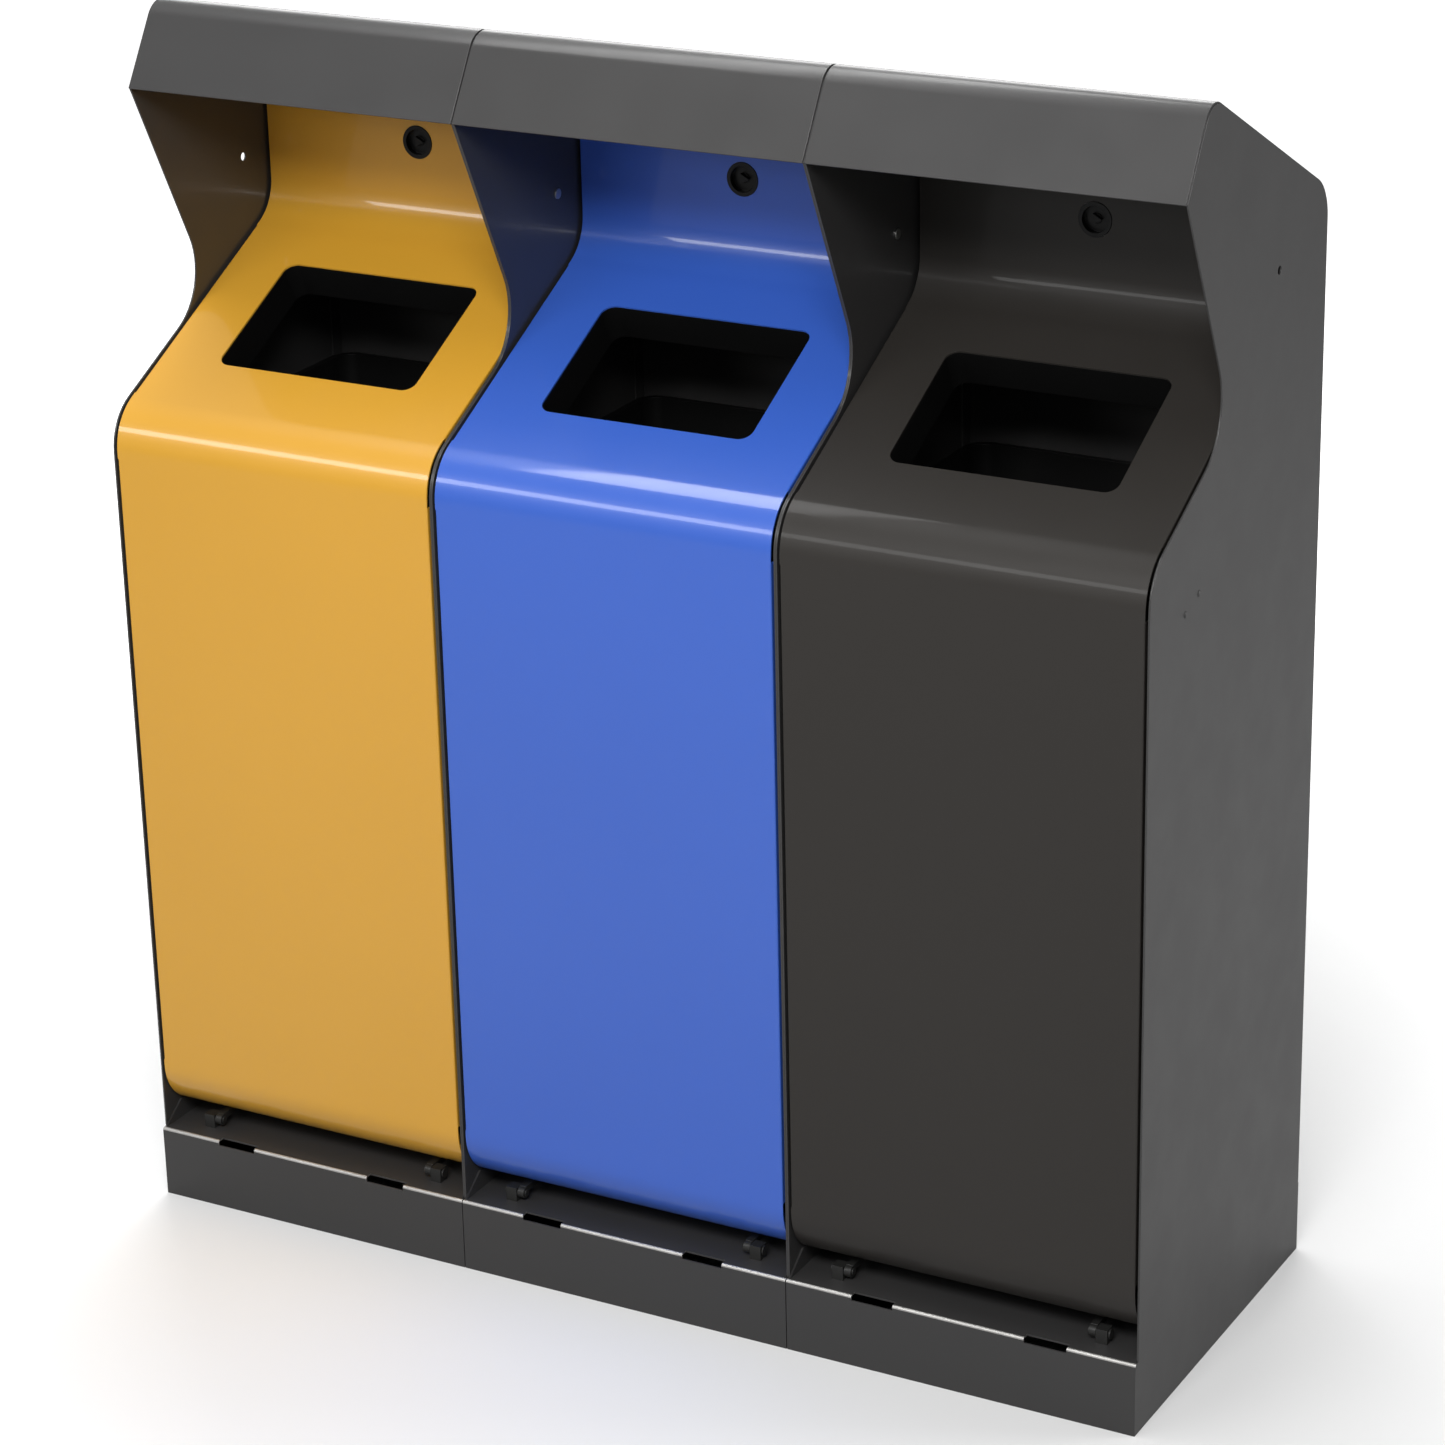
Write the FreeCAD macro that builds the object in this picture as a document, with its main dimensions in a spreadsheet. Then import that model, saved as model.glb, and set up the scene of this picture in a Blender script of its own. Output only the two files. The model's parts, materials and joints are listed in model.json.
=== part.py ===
import FreeCAD, Part
import math
import os
import re
import PartDesign
import Sketcher

# Three-bay recycling station in folded sheet steel. Each bay has its own plinth, side panels,
# canopy, back, latch rail, tilting front door with lock and hinges, chute collar and liner.
# Inside a bay x is measured from the bay's middle, y from the plinth front, z from the ground.

Vector = FreeCAD.Vector
bays = ("left_bay", "middle_bay", "right_bay")

sizes = {
    "bayPitch": 400, "stationDepth": 445, "wallGauge": 2, "seamGap": 2,
    "plinthTop": 83, "foldRadius": 3, "floorFlange": 55, "slotLength": 48, "slotSpacing": 198,
    "slotHeight": 6, "slotDepth": 9, "upstandHeight": 22, "upstandStart": 34, "upstandEnd": 40,
    "upstandTip": 3, "anchorInset": 35, "anchorSpacingY": 200, "anchorSetback": 150,
    "anchorRadius": 6, "accessRadius": 13,
    "frontSetback": 6, "kneeHeight": 922, "slopeAngle": 27.2, "kneeRadius": 60, "neckSetback": 197,
    "neckRadius": 70, "lipSetback": 77.5, "lipRise": 181, "visorLean": 32, "visorHeight": 91.5,
    "visorRadius": 28, "roofAngle": 27.2, "backRadius": 50, "tailDrop": 50, "tailGap": 1,
    "backFlange": 20, "joinLead": 46, "joinDrop": 25, "joinHoleRadius": 4.5,
    "endHoleLead": 6, "endHoleDrop": 28,
    "hoodDepth": 123.5, "doorGap": 3, "doorFloorGap": 17, "curlRadius": 60, "bottomReturn": 75,
    "upperRadius": 50, "topReturn": 15, "lipClearance": 10, "doorFlange": 22, "flangeRelief": 8,
    "apertureWidth": 246, "apertureStart": 102, "apertureMargin": 89.4, "apertureRadius": 14,
    "chuteDepth": 42, "chuteFlange": 15,
    "lockDrop": 42.5, "lockHoleRadius": 18.5, "lockFit": 0.2, "lockProud": 1, "barrelStep": 2.2,
    "cupWall": 2.3, "cupDepth": 7, "spindleRadius": 5, "runningClearance": 0.05, "keyRadius": 6.5,
    "keyClearance": 0.3, "camGap": 4, "camWasher": 1, "camThickness": 3, "camLength": 40,
    "camWidth": 16, "lockNutOverlap": 5.5, "lockNutDepth": 5,
    "railGap": 21, "railDrop": 43, "railRise": 42, "railFlange": 26, "railCutWidth": 50,
    "railCutRise": 24, "bufferRadius": 8, "bufferInset": 80, "bufferGap": 0.5, "bufferDrop": 13,
    "hingeInset": 25, "hingeRise": 10, "hingeMargin": 49, "hingeWidth": 13, "hingeBlockDepth": 14,
    "hingeBlockCrown": 6, "pinRadius": 4, "pinOverrun": 1, "pinHeadRadius": 5.5, "pinHeadLength": 2,
    "lugWidth": 8, "lugRadius": 6.5, "lugGap": 0.5, "lugFootDepth": 14, "lugFootHeight": 3,
    "lugFootWidth": 16,
    "linerSideGap": 18, "linerFrontGap": 10, "linerRearGap": 20, "linerHeadroom": 36.7,
    "linerLift": 0.3, "linerRadius": 20, "rimWidth": 6, "rimHeight": 12, "handSlotLength": 100,
    "handSlotHeight": 30, "handSlotDrop": 60,
    "guideLead": 12, "guideLength": 60, "guideReach": 10, "guideDrop": 42, "guideHeight": 42,
    "boltRadius": 2.5, "boltHeadRadius": 5.6, "boltHeadHeight": 1.8, "sleeveFit": 0.1, "boltTip": 0.8,
    "rivetRadius": 4, "rivetTip": 2.4, "rivetHeight": 1.4, "rivetSpacing": 33, "rivetStagger": 11,
}

# Places that several sub-parts share.
upperSetback = "(stationDepth - hoodDepth)"
slopeTop = "(kneeHeight + (%s - frontSetback) * tan(slopeAngle))" % upperSetback
neckHeight = "(kneeHeight + (neckSetback - frontSetback) * tan(slopeAngle))"
foldShift = "wallGauge * tan(45 - slopeAngle / 2)"
hingeSetback = "(frontSetback + hingeInset)"
hingeHeight = "(plinthTop + hingeRise)"
hingeSpacing = "(bayPitch - 2 * hingeMargin)"
lipHeight = "(%s + lipRise)" % slopeTop
ridgeSetback = "(lipSetback + visorHeight * tan(visorLean))"
ridgeHeight = "(%s + visorHeight)" % lipHeight
ridgeTurn = "((90 - visorLean + roofAngle) / 2)"
ridgeNormal = "((90 + visorLean + roofAngle) / 2)"
eaveHeight = "(%s - (stationDepth - %s) * tan(roofAngle))" % (ridgeHeight, ridgeSetback)
tailHeight = "(%s - tailDrop)" % eaveHeight
lipInner = "(lipSetback + wallGauge / cos(visorLean))"
ridgeInner = (
    "%s + wallGauge / cos(%s) * cos(%s)" % (ridgeSetback, ridgeTurn, ridgeNormal),
    "%s - wallGauge / cos(%s) * sin(%s)" % (ridgeHeight, ridgeTurn, ridgeNormal),
)
eaveInner = ("stationDepth - wallGauge", "%s - wallGauge * tan((90 - roofAngle) / 2)" % eaveHeight)
swingRadius = "(%s - lipClearance - %s)" % (lipHeight, hingeHeight)
swingReach = "(%s + topReturn - %s)" % (upperSetback, hingeSetback)
doorTop = "(%s + sqrt(%s ^ 2 - %s ^ 2))" % (hingeHeight, swingRadius, swingReach)
doorBottom = "(plinthTop + doorFloorGap)"
doorHalf = "(bayPitch / 2 - wallGauge - doorGap)"
innerHalf = "(bayPitch / 2 - wallGauge)"
apertureEnd = "((%s - frontSetback) / cos(slopeAngle) - apertureMargin)" % upperSetback
lockHeight = "(%s - lockDrop)" % doorTop
barrelRadius = "(lockHoleRadius - barrelStep)"
railSetback = "(%s + railGap)" % upperSetback
railBottom = "(%s - railDrop)" % lockHeight
railTop = "(%s + railRise)" % lockHeight
camSetback = "(%s + wallGauge + camGap)" % railSetback
linerFoot = "(plinthTop + linerLift)"
linerTop = "(kneeHeight - linerHeadroom)"
linerHalf = "(%s - linerSideGap)" % innerHalf
linerFront = "(frontSetback + bottomReturn + linerFrontGap)"
linerBack = "(stationDepth - linerRearGap)"
guideFront = "(%s - guideLead)" % linerFront
guideTop = "(%s - guideDrop + guideHeight)" % linerTop
joinSetback = "(%s - joinLead)" % upperSetback
joinHeight = "(%s - joinDrop)" % lockHeight
throughCut = "(4 * wallGauge)"

aliasWords = re.compile(r"\b(%s)\b" % "|".join(sizes))


def bound(text):
    """Turn bare size names into references to the sheet."""
    return aliasWords.sub(r"Sizes.\1", str(text))


def makeSheet(doc):
    sheet = doc.addObject("Spreadsheet::Sheet", "Sizes")
    for row, (alias, value) in enumerate(sizes.items(), 1):
        sheet.set("A%d" % row, alias)
        sheet.set("B%d" % row, str(value))
        sheet.setAlias("B%d" % row, alias)
    doc.recompute()


def place(item, label, bay):
    """Name a finished sub-part and set it in its bay; the station's origin is mid-depth."""
    item.Label = label
    item.setExpression("Placement.Base.x", bound("(%d - 1) * bayPitch" % bay))
    item.setExpression("Placement.Base.y", bound("-stationDepth / 2"))
    return item


# Sketch and feature helpers.

def newBody(doc, label, bay):
    return place(doc.addObject("PartDesign::Body", label), label, bay)


def newSketch(body, plane, lift=None, slope=None):
    """A sketch on an origin plane, lifted along its normal, or laid on the door's slope."""
    sketch = body.newObject("Sketcher::SketchObject", body.Name + "_sketch")
    support = [item for item in body.Origin.OriginFeatures if item.Role == plane][0]
    sketch.AttachmentSupport = [(support, "")]
    sketch.MapMode = "FlatFace"
    if lift is not None:
        sketch.setExpression("AttachmentOffset.Base.z", bound(lift))
    if slope is not None:
        tilt = FreeCAD.Rotation(Vector(1, 0, 0), sizes["slopeAngle"])
        sketch.AttachmentOffset = FreeCAD.Placement(Vector(0, 0, 0), tilt)
        sketch.setExpression("AttachmentOffset.Rotation.Angle", bound("slopeAngle"))
        sketch.setExpression("AttachmentOffset.Base.y", bound("frontSetback + %s * sin(slopeAngle)" % slope))
        sketch.setExpression("AttachmentOffset.Base.z", bound("kneeHeight - %s * cos(slopeAngle)" % slope))
    return sketch


def bindPoint(sketch, geometry, point, spot):
    for kind, text in zip(("DistanceX", "DistanceY"), spot):
        index = sketch.addConstraint(Sketcher.Constraint(kind, geometry, point, 1.0))
        sketch.setExpression("Constraints[%d]" % index, bound(text))


def addOutline(sketch, corners):
    """A closed outline of straight lines, each corner bound to the sheet."""
    first = sketch.GeometryCount
    count = len(corners)
    spots = [Vector(math.cos(2 * math.pi * i / count), math.sin(2 * math.pi * i / count), 0)
             for i in range(count)]
    for i in range(count):
        sketch.addGeometry(Part.LineSegment(spots[i], spots[(i + 1) % count]), False)
    for i in range(count):
        following = first + (i + 1) % count
        sketch.addConstraint(Sketcher.Constraint("Coincident", first + i, 2, following, 1))
    for i, corner in enumerate(corners):
        bindPoint(sketch, first + i, 1, corner)


def addCircle(sketch, spot, radius):
    index = sketch.addGeometry(Part.Circle(Vector(0, 0, 0), Vector(0, 0, 1), 5.0), False)
    bindPoint(sketch, index, 3, spot)
    size = sketch.addConstraint(Sketcher.Constraint("Radius", index, 5.0))
    sketch.setExpression("Constraints[%d]" % size, bound(radius))


def rectangle(x1, y1, x2, y2):
    return [(x1, y1), (x2, y1), (x2, y2), (x1, y2)]


def outlineSketch(body, plane, *outlines, lift=None, slope=None):
    sketch = newSketch(body, plane, lift, slope)
    for outline in outlines:
        addOutline(sketch, outline)
    return sketch


def extrude(body, kind, sketch, length, symmetric=False, backwards=False):
    feature = body.newObject("PartDesign::" + kind, body.Name + "_" + kind.lower())
    feature.Profile = sketch
    feature.setExpression("Length", bound(length))
    if symmetric:
        feature.SideType = "Symmetric"
    feature.Reversed = backwards
    body.Document.recompute()
    return feature


def pad(body, sketch, length, **ways):
    return extrude(body, "Pad", sketch, length, **ways)


def pocket(body, sketch, length, **ways):
    before = body.Shape.Volume
    feature = extrude(body, "Pocket", sketch, length, **ways)
    if body.Shape.Volume > before - 1e-6:
        raise RuntimeError("%s cuts nothing" % feature.Name)
    return feature


def cornerEdges(feature, sketch, corners):
    """Names of the straight edges that run along the sketch's normal through its corners."""
    normal = sketch.Placement.Rotation.multVec(Vector(0, 0, 1))
    names = []
    for corner in corners:
        start = sketch.Placement.multVec(sketch.Geometry[corner].StartPoint)
        for index, edge in enumerate(feature.Shape.Edges, 1):
            if edge.Curve.TypeId != "Part::GeomLine":
                continue
            if abs(edge.Curve.Direction.dot(normal)) < 0.999:
                continue
            if (edge.Vertexes[0].Point - start).cross(normal).Length < 0.01:
                names.append("Edge%d" % index)
    return names


def roundCorners(body, sketch, corners, radius):
    base = body.Tip
    names = cornerEdges(base, sketch, corners)
    if not names:
        raise RuntimeError("%s has no edge to round" % body.Label)
    feature = body.newObject("PartDesign::Fillet", body.Name + "_bend")
    feature.Base = (base, names)
    feature.setExpression("Radius", bound(radius))
    body.Document.recompute()
    return feature


# Helpers for pieces made of primitives.

turns = {
    "x": FreeCAD.Rotation(Vector(0, 1, 0), 90),
    "y": FreeCAD.Rotation(Vector(1, 0, 0), -90),
    "z": FreeCAD.Rotation(),
}


def setPlace(item, x, y, z):
    for axis, text in zip("xyz", (x, y, z)):
        item.setExpression("Placement.Base." + axis, bound(text))


def block(doc, x1, x2, y1, y2, z1, z2):
    item = doc.addObject("Part::Box", "block")
    for side, (low, high) in zip(("Length", "Width", "Height"), ((x1, x2), (y1, y2), (z1, z2))):
        item.setExpression(side, bound("(%s) - (%s)" % (high, low)))
    setPlace(item, x1, y1, z1)
    return item


def rod(doc, axis, x, y, z, radius, length):
    item = doc.addObject("Part::Cylinder", "rod")
    item.Placement = FreeCAD.Placement(Vector(0, 0, 0), turns[axis])
    item.setExpression("Radius", bound(radius))
    item.setExpression("Height", bound(length))
    setPlace(item, x, y, z)
    return item


def prism(doc, axis, sides, x, y, z, radius, length):
    item = doc.addObject("Part::Prism", "prism")
    item.Polygon = sides
    item.Placement = FreeCAD.Placement(Vector(0, 0, 0), turns[axis])
    item.setExpression("Circumradius", bound(radius))
    item.setExpression("Height", bound(length))
    setPlace(item, x, y, z)
    return item


def join(doc, *items):
    item = doc.addObject("Part::MultiFuse", "join")
    item.Shapes = list(items)
    return item


def cut(doc, base, tool):
    item = doc.addObject("Part::Cut", "cut")
    item.Base = base
    item.Tool = tool
    return item


def group(doc, *items):
    item = doc.addObject("Part::Compound", "group")
    item.Links = list(items)
    return item


def mirroredPair(doc, item):
    """The item and its mirror image across the bay's middle."""
    other = doc.addObject("Part::Mirroring", "mirror")
    other.Source = item
    other.Normal = Vector(1, 0, 0)
    return group(doc, item, other)


# Fixed sub-parts of a bay.

def makePlinth(doc, bay):
    body = newBody(doc, bays[bay] + "_plinth", bay)
    half = "(bayPitch / 2 - seamGap / 4)"
    section = outlineSketch(body, "YZ_Plane", rectangle("0", "0", "stationDepth", "plinthTop"))
    pad(body, section, "2 * %s" % half, symmetric=True)
    roundCorners(body, section, (2, 3), "foldRadius")
    hollow = rectangle("-%s + wallGauge" % half, "wallGauge",
                       "%s - wallGauge" % half, "stationDepth - wallGauge")
    pocket(body, outlineSketch(body, "XY_Plane", hollow), "plinthTop - wallGauge", backwards=True)
    flanges = [rectangle("%s * (%s - wallGauge / 2)" % (side, half), "wallGauge / 2",
                         "%s * (%s - floorFlange)" % (side, half), "stationDepth - wallGauge / 2")
               for side in (-1, 1)]
    pad(body, outlineSketch(body, "XY_Plane", *flanges), "wallGauge")
    anchors = [("%s * (bayPitch / 2 - anchorInset)" % side, "anchorSetback + %s * anchorSpacingY" % row)
               for side in (-1, 1) for row in (0, 1)]
    holes = newSketch(body, "XY_Plane")
    access = newSketch(body, "XY_Plane", lift="plinthTop")
    for anchor in anchors:
        addCircle(holes, anchor, "anchorRadius")
        addCircle(access, anchor, "accessRadius")
    pocket(body, holes, "2 * wallGauge", backwards=True)
    pocket(body, access, "2 * wallGauge")
    slots = [rectangle("%s * slotSpacing / 2 - slotLength / 2" % side, "plinthTop - slotHeight",
                       "%s * slotSpacing / 2 + slotLength / 2" % side, "plinthTop + foldRadius")
             for side in (-1, 1)]
    pocket(body, outlineSketch(body, "XZ_Plane", *slots), "slotDepth")
    upstand = [("upstandTip", "plinthTop"), ("upstandStart", "plinthTop + upstandHeight"),
               ("stationDepth - upstandEnd", "plinthTop + upstandHeight"),
               ("stationDepth - upstandEnd", "plinthTop")]
    pad(body, outlineSketch(body, "YZ_Plane", upstand), "2 * %s" % innerHalf, symmetric=True)
    pocket(body, outlineSketch(body, "YZ_Plane", upstand), "2 * (%s - wallGauge)" % innerHalf,
           symmetric=True)
    return body


def makeSidePanel(doc, bay, side):
    body = newBody(doc, "%s_%s_side" % (bays[bay], side), bay)
    lift = "-bayPitch / 2" if side == "left" else innerHalf
    outline = [("frontSetback", "plinthTop"), ("frontSetback", "kneeHeight"),
               ("neckSetback", neckHeight), (lipInner, lipHeight), ridgeInner, eaveInner,
               ("stationDepth - wallGauge", "plinthTop")]
    profile = outlineSketch(body, "YZ_Plane", outline, lift=lift)
    pad(body, profile, "wallGauge")
    radii = ("kneeRadius", "neckRadius", "", "visorRadius - wallGauge", "backRadius - wallGauge")
    for corner, radius in enumerate(radii, 1):
        if radius:
            roundCorners(body, profile, (corner,), radius)
    holes = newSketch(body, "YZ_Plane", lift=lift)
    hole = (joinSetback, joinHeight)
    if side == "right" and bay == len(bays) - 1:
        hole = ("%s - endHoleLead" % upperSetback, "%s - endHoleDrop" % lockHeight)
    addCircle(holes, hole, "joinHoleRadius")
    pocket(body, holes, "wallGauge", backwards=True)
    return body


def makeCanopy(doc, bay):
    body = newBody(doc, bays[bay] + "_canopy", bay)
    outline = [("lipSetback", lipHeight), (ridgeSetback, ridgeHeight), ("stationDepth", eaveHeight),
               ("stationDepth", tailHeight), ("stationDepth - wallGauge", tailHeight), eaveInner,
               ridgeInner, (lipInner, lipHeight)]
    profile = outlineSketch(body, "YZ_Plane", outline)
    pad(body, profile, "bayPitch - seamGap", symmetric=True)
    roundCorners(body, profile, (1,), "visorRadius")
    roundCorners(body, profile, (6,), "visorRadius - wallGauge")
    roundCorners(body, profile, (2,), "backRadius")
    roundCorners(body, profile, (5,), "backRadius - wallGauge")
    return body


def makeBackPanel(doc, bay):
    body = newBody(doc, bays[bay] + "_back_panel", bay)
    half = "(bayPitch / 2 - seamGap / 2)"
    inner = "stationDepth - wallGauge"
    root = "stationDepth - wallGauge / 2"
    plate = rectangle("-" + half, inner, half, "stationDepth")
    height = "%s - tailGap - plinthTop" % tailHeight
    pad(body, outlineSketch(body, "XY_Plane", plate, lift="plinthTop"), height)
    flanges = [rectangle("%s * %s" % (side, innerHalf), "stationDepth - backFlange",
                         "%s * (%s - wallGauge)" % (side, innerHalf), root) for side in (-1, 1)]
    pad(body, outlineSketch(body, "XY_Plane", *flanges, lift="plinthTop"), height)
    return body


def makeLatchRail(doc, bay):
    body = newBody(doc, bays[bay] + "_latch_rail", bay)
    back = "%s + railFlange" % railSetback
    web = "%s + wallGauge" % railSetback
    under = "%s - wallGauge" % railTop
    section = [(railSetback, railBottom), (railSetback, railTop), (back, railTop), (back, under),
               (web, under), (web, railBottom)]
    pad(body, outlineSketch(body, "YZ_Plane", section), "2 * %s" % innerHalf, symmetric=True)
    tab = rectangle(web, railBottom, back, under)
    pad(body, outlineSketch(body, "YZ_Plane", tab), "2 * %s" % innerHalf, symmetric=True)
    pocket(body, outlineSketch(body, "YZ_Plane", tab), "2 * (%s - wallGauge)" % innerHalf, symmetric=True)
    notch = rectangle("-railCutWidth / 2", "%s - wallGauge" % railBottom,
                      "railCutWidth / 2", "%s + railCutRise" % lockHeight)
    pocket(body, outlineSketch(body, "XZ_Plane", notch, lift="-%s" % railSetback), "2 * wallGauge")
    return body


def makeHingeBlocks(doc, bay):
    middle = "%s / 2" % hingeSpacing
    solid = block(doc, middle + " - hingeWidth / 2", middle + " + hingeWidth / 2",
                  hingeSetback + " - hingeBlockDepth / 2", hingeSetback + " + hingeBlockDepth / 2",
                  "plinthTop", hingeHeight + " + hingeBlockCrown")
    bore = rod(doc, "x", middle + " - hingeWidth", hingeSetback, hingeHeight,
               "pinRadius + runningClearance", "2 * hingeWidth")
    return place(mirroredPair(doc, cut(doc, solid, bore)), bays[bay] + "_hinge_blocks", bay)


def makeHingePins(doc, bay):
    inner = "(%s / 2 - hingeWidth / 2 - 2 * lugGap - lugWidth - pinOverrun)" % hingeSpacing
    outer = "(%s / 2 + hingeWidth / 2)" % hingeSpacing
    shank = rod(doc, "x", inner, hingeSetback, hingeHeight, "pinRadius", "%s - %s" % (outer, inner))
    head = rod(doc, "x", outer, hingeSetback, hingeHeight, "pinHeadRadius", "pinHeadLength")
    return place(mirroredPair(doc, join(doc, shank, head)), bays[bay] + "_hinge_pins", bay)


def makeDoorBuffers(doc, bay):
    front = "(%s + wallGauge + bufferGap)" % upperSetback
    buffer = rod(doc, "y", "bayPitch / 2 - bufferInset", front, "%s - bufferDrop" % lockHeight,
                 "bufferRadius", "%s - %s" % (railSetback, front))
    return place(mirroredPair(doc, buffer), bays[bay] + "_door_buffers", bay)


def makeLinerGuides(doc, bay):
    bottom = "%s - guideHeight" % guideTop
    flange = block(doc, "%s - wallGauge" % innerHalf, innerHalf, guideFront, "%s + guideLength" % guideFront,
                   bottom, guideTop)
    leg = block(doc, "%s - guideReach" % innerHalf, innerHalf, guideFront, "%s + wallGauge" % guideFront,
                bottom, guideTop)
    return place(mirroredPair(doc, join(doc, flange, leg)), bays[bay] + "_liner_guides", bay)


# The tilting door and what it carries.

def flangeOutlines(inner):
    """Side flanges of the door's three flat stretches, from the given depth to their full depth."""
    def onSlope(along, depth):
        return ("frontSetback + (%s) * cos(slopeAngle) + (%s) * sin(slopeAngle)" % (along, depth),
                "kneeHeight + (%s) * sin(slopeAngle) - (%s) * cos(slopeAngle)" % (along, depth))

    outer = "doorFlange"
    kneeRun = "(kneeRadius * tan(45 - slopeAngle / 2) + flangeRelief)"
    upperRun = "((upperRadius + wallGauge) * tan(45 - slopeAngle / 2) + flangeRelief)"
    slopeEnd = "(%s - frontSetback) / cos(slopeAngle) - %s" % (upperSetback, upperRun)
    front = rectangle("frontSetback + %s" % inner, "%s + curlRadius + flangeRelief" % doorBottom,
                      "frontSetback + %s" % outer, "kneeHeight - %s" % kneeRun)
    slope = [onSlope(kneeRun, inner), onSlope(slopeEnd, inner),
             onSlope(slopeEnd, outer), onSlope(kneeRun, outer)]
    return front, slope


def makeDoor(doc, bay):
    body = newBody(doc, bays[bay] + "_door", bay)
    returnEnd = "frontSetback + bottomReturn"
    topEnd = "%s + topReturn" % upperSetback
    topUnder = "%s - wallGauge" % doorTop
    upperInner = "%s + wallGauge" % upperSetback
    bottomInner = "%s + wallGauge" % doorBottom
    outline = [
        (returnEnd, doorBottom), ("frontSetback", doorBottom), ("frontSetback", "kneeHeight"),
        (upperSetback, slopeTop), (upperSetback, doorTop), (topEnd, doorTop), (topEnd, topUnder),
        (upperInner, topUnder), (upperInner, "%s - %s" % (slopeTop, foldShift)),
        ("frontSetback + wallGauge", "kneeHeight - %s" % foldShift),
        ("frontSetback + wallGauge", bottomInner), (returnEnd, bottomInner),
    ]
    profile = outlineSketch(body, "YZ_Plane", outline)
    pad(body, profile, "2 * %s" % doorHalf, symmetric=True)
    bends = ((1, "curlRadius"), (10, "curlRadius - wallGauge"), (2, "kneeRadius"),
             (9, "kneeRadius - wallGauge"), (3, "upperRadius"), (8, "upperRadius + wallGauge"),
             (4, "foldRadius"), (7, "foldRadius - wallGauge"))
    for corner, radius in bends:
        roundCorners(body, profile, (corner,), radius)
    pad(body, outlineSketch(body, "YZ_Plane", *flangeOutlines("wallGauge / 2")), "2 * %s" % doorHalf,
        symmetric=True)
    pocket(body, outlineSketch(body, "YZ_Plane", *flangeOutlines("wallGauge")),
           "2 * (%s - wallGauge)" % doorHalf, symmetric=True)
    opening = rectangle("-apertureWidth / 2", "apertureStart", "apertureWidth / 2", apertureEnd)
    aperture = outlineSketch(body, "XY_Plane", opening, slope="0")
    pocket(body, aperture, throughCut, symmetric=True)
    roundCorners(body, aperture, (0, 1, 2, 3), "apertureRadius")
    hole = newSketch(body, "XZ_Plane", lift="-%s" % upperSetback)
    addCircle(hole, ("0", lockHeight), "lockHoleRadius")
    pocket(body, hole, throughCut, symmetric=True)
    return body


def makeChute(doc, bay):
    """Black collar that lines the aperture and hangs below it, square to the slope."""
    body = newBody(doc, bays[bay] + "_chute", bay)

    def frame(margin):
        return rectangle("-apertureWidth / 2 - %s" % margin, "apertureStart - %s" % margin,
                         "apertureWidth / 2 + %s" % margin, "%s + %s" % (apertureEnd, margin))

    rim = outlineSketch(body, "XY_Plane", frame("chuteFlange"), slope="wallGauge")
    pad(body, rim, "wallGauge", backwards=True)
    walls = outlineSketch(body, "XY_Plane", frame("wallGauge"), slope="wallGauge")
    pad(body, walls, "chuteDepth", backwards=True)
    mouth = outlineSketch(body, "XY_Plane", frame("0"), slope="wallGauge")
    pocket(body, mouth, "chuteDepth + wallGauge")
    roundCorners(body, mouth, (0, 1, 2, 3), "apertureRadius")
    roundCorners(body, walls, (0, 1, 2, 3), "apertureRadius + wallGauge")
    return body


def makeLockBody(doc, bay):
    face = "(%s - lockProud)" % upperSetback
    length = "(%s - camWasher - %s)" % (camSetback, face)
    flange = rod(doc, "y", "0", face, lockHeight, "lockHoleRadius - lockFit", "lockProud + wallGauge")
    barrel = rod(doc, "y", "0", face, lockHeight, barrelRadius, length)
    cup = rod(doc, "y", "0", face, lockHeight, "%s - cupWall" % barrelRadius, "cupDepth")
    bore = rod(doc, "y", "0", face, lockHeight, "spindleRadius + runningClearance", length)
    item = cut(doc, join(doc, flange, barrel), join(doc, cup, bore))
    return place(item, bays[bay] + "_lock_body", bay)


def makeLockNut(doc, bay):
    back = "(%s + wallGauge)" % upperSetback
    nut = prism(doc, "y", 6, "0", back, lockHeight, "lockHoleRadius + lockNutOverlap", "lockNutDepth")
    hole = rod(doc, "y", "0", back, lockHeight, "%s + lockFit" % barrelRadius, "lockNutDepth")
    return place(cut(doc, nut, hole), bays[bay] + "_lock_nut", bay)


def makeLockSpindle(doc, bay):
    """Round shank through the lock with a three-sided key head standing in the cup."""
    root = "(%s - lockProud + cupDepth - keyClearance)" % upperSetback
    tip = "(%s + lockProud)" % upperSetback
    shank = rod(doc, "y", "0", root, lockHeight, "spindleRadius",
                "%s + camThickness - %s" % (camSetback, root))
    key = prism(doc, "y", 3, "0", tip, lockHeight, "keyRadius", "%s - %s" % (root, tip))
    return place(join(doc, shank, key), bays[bay] + "_lock_spindle", bay)


def makeLockCam(doc, bay):
    """Cam plate that hangs down when open and swings behind the latch rail."""
    arm = block(doc, "-camWidth / 2", "camWidth / 2", camSetback, camSetback + " + camThickness",
                "%s - camLength" % lockHeight, lockHeight)
    boss = rod(doc, "y", "0", camSetback, lockHeight, "camWidth / 2", "camThickness")
    bore = rod(doc, "y", "0", camSetback, lockHeight, "spindleRadius", "camThickness")
    return place(cut(doc, join(doc, arm, boss), bore), bays[bay] + "_lock_cam", bay)


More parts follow.
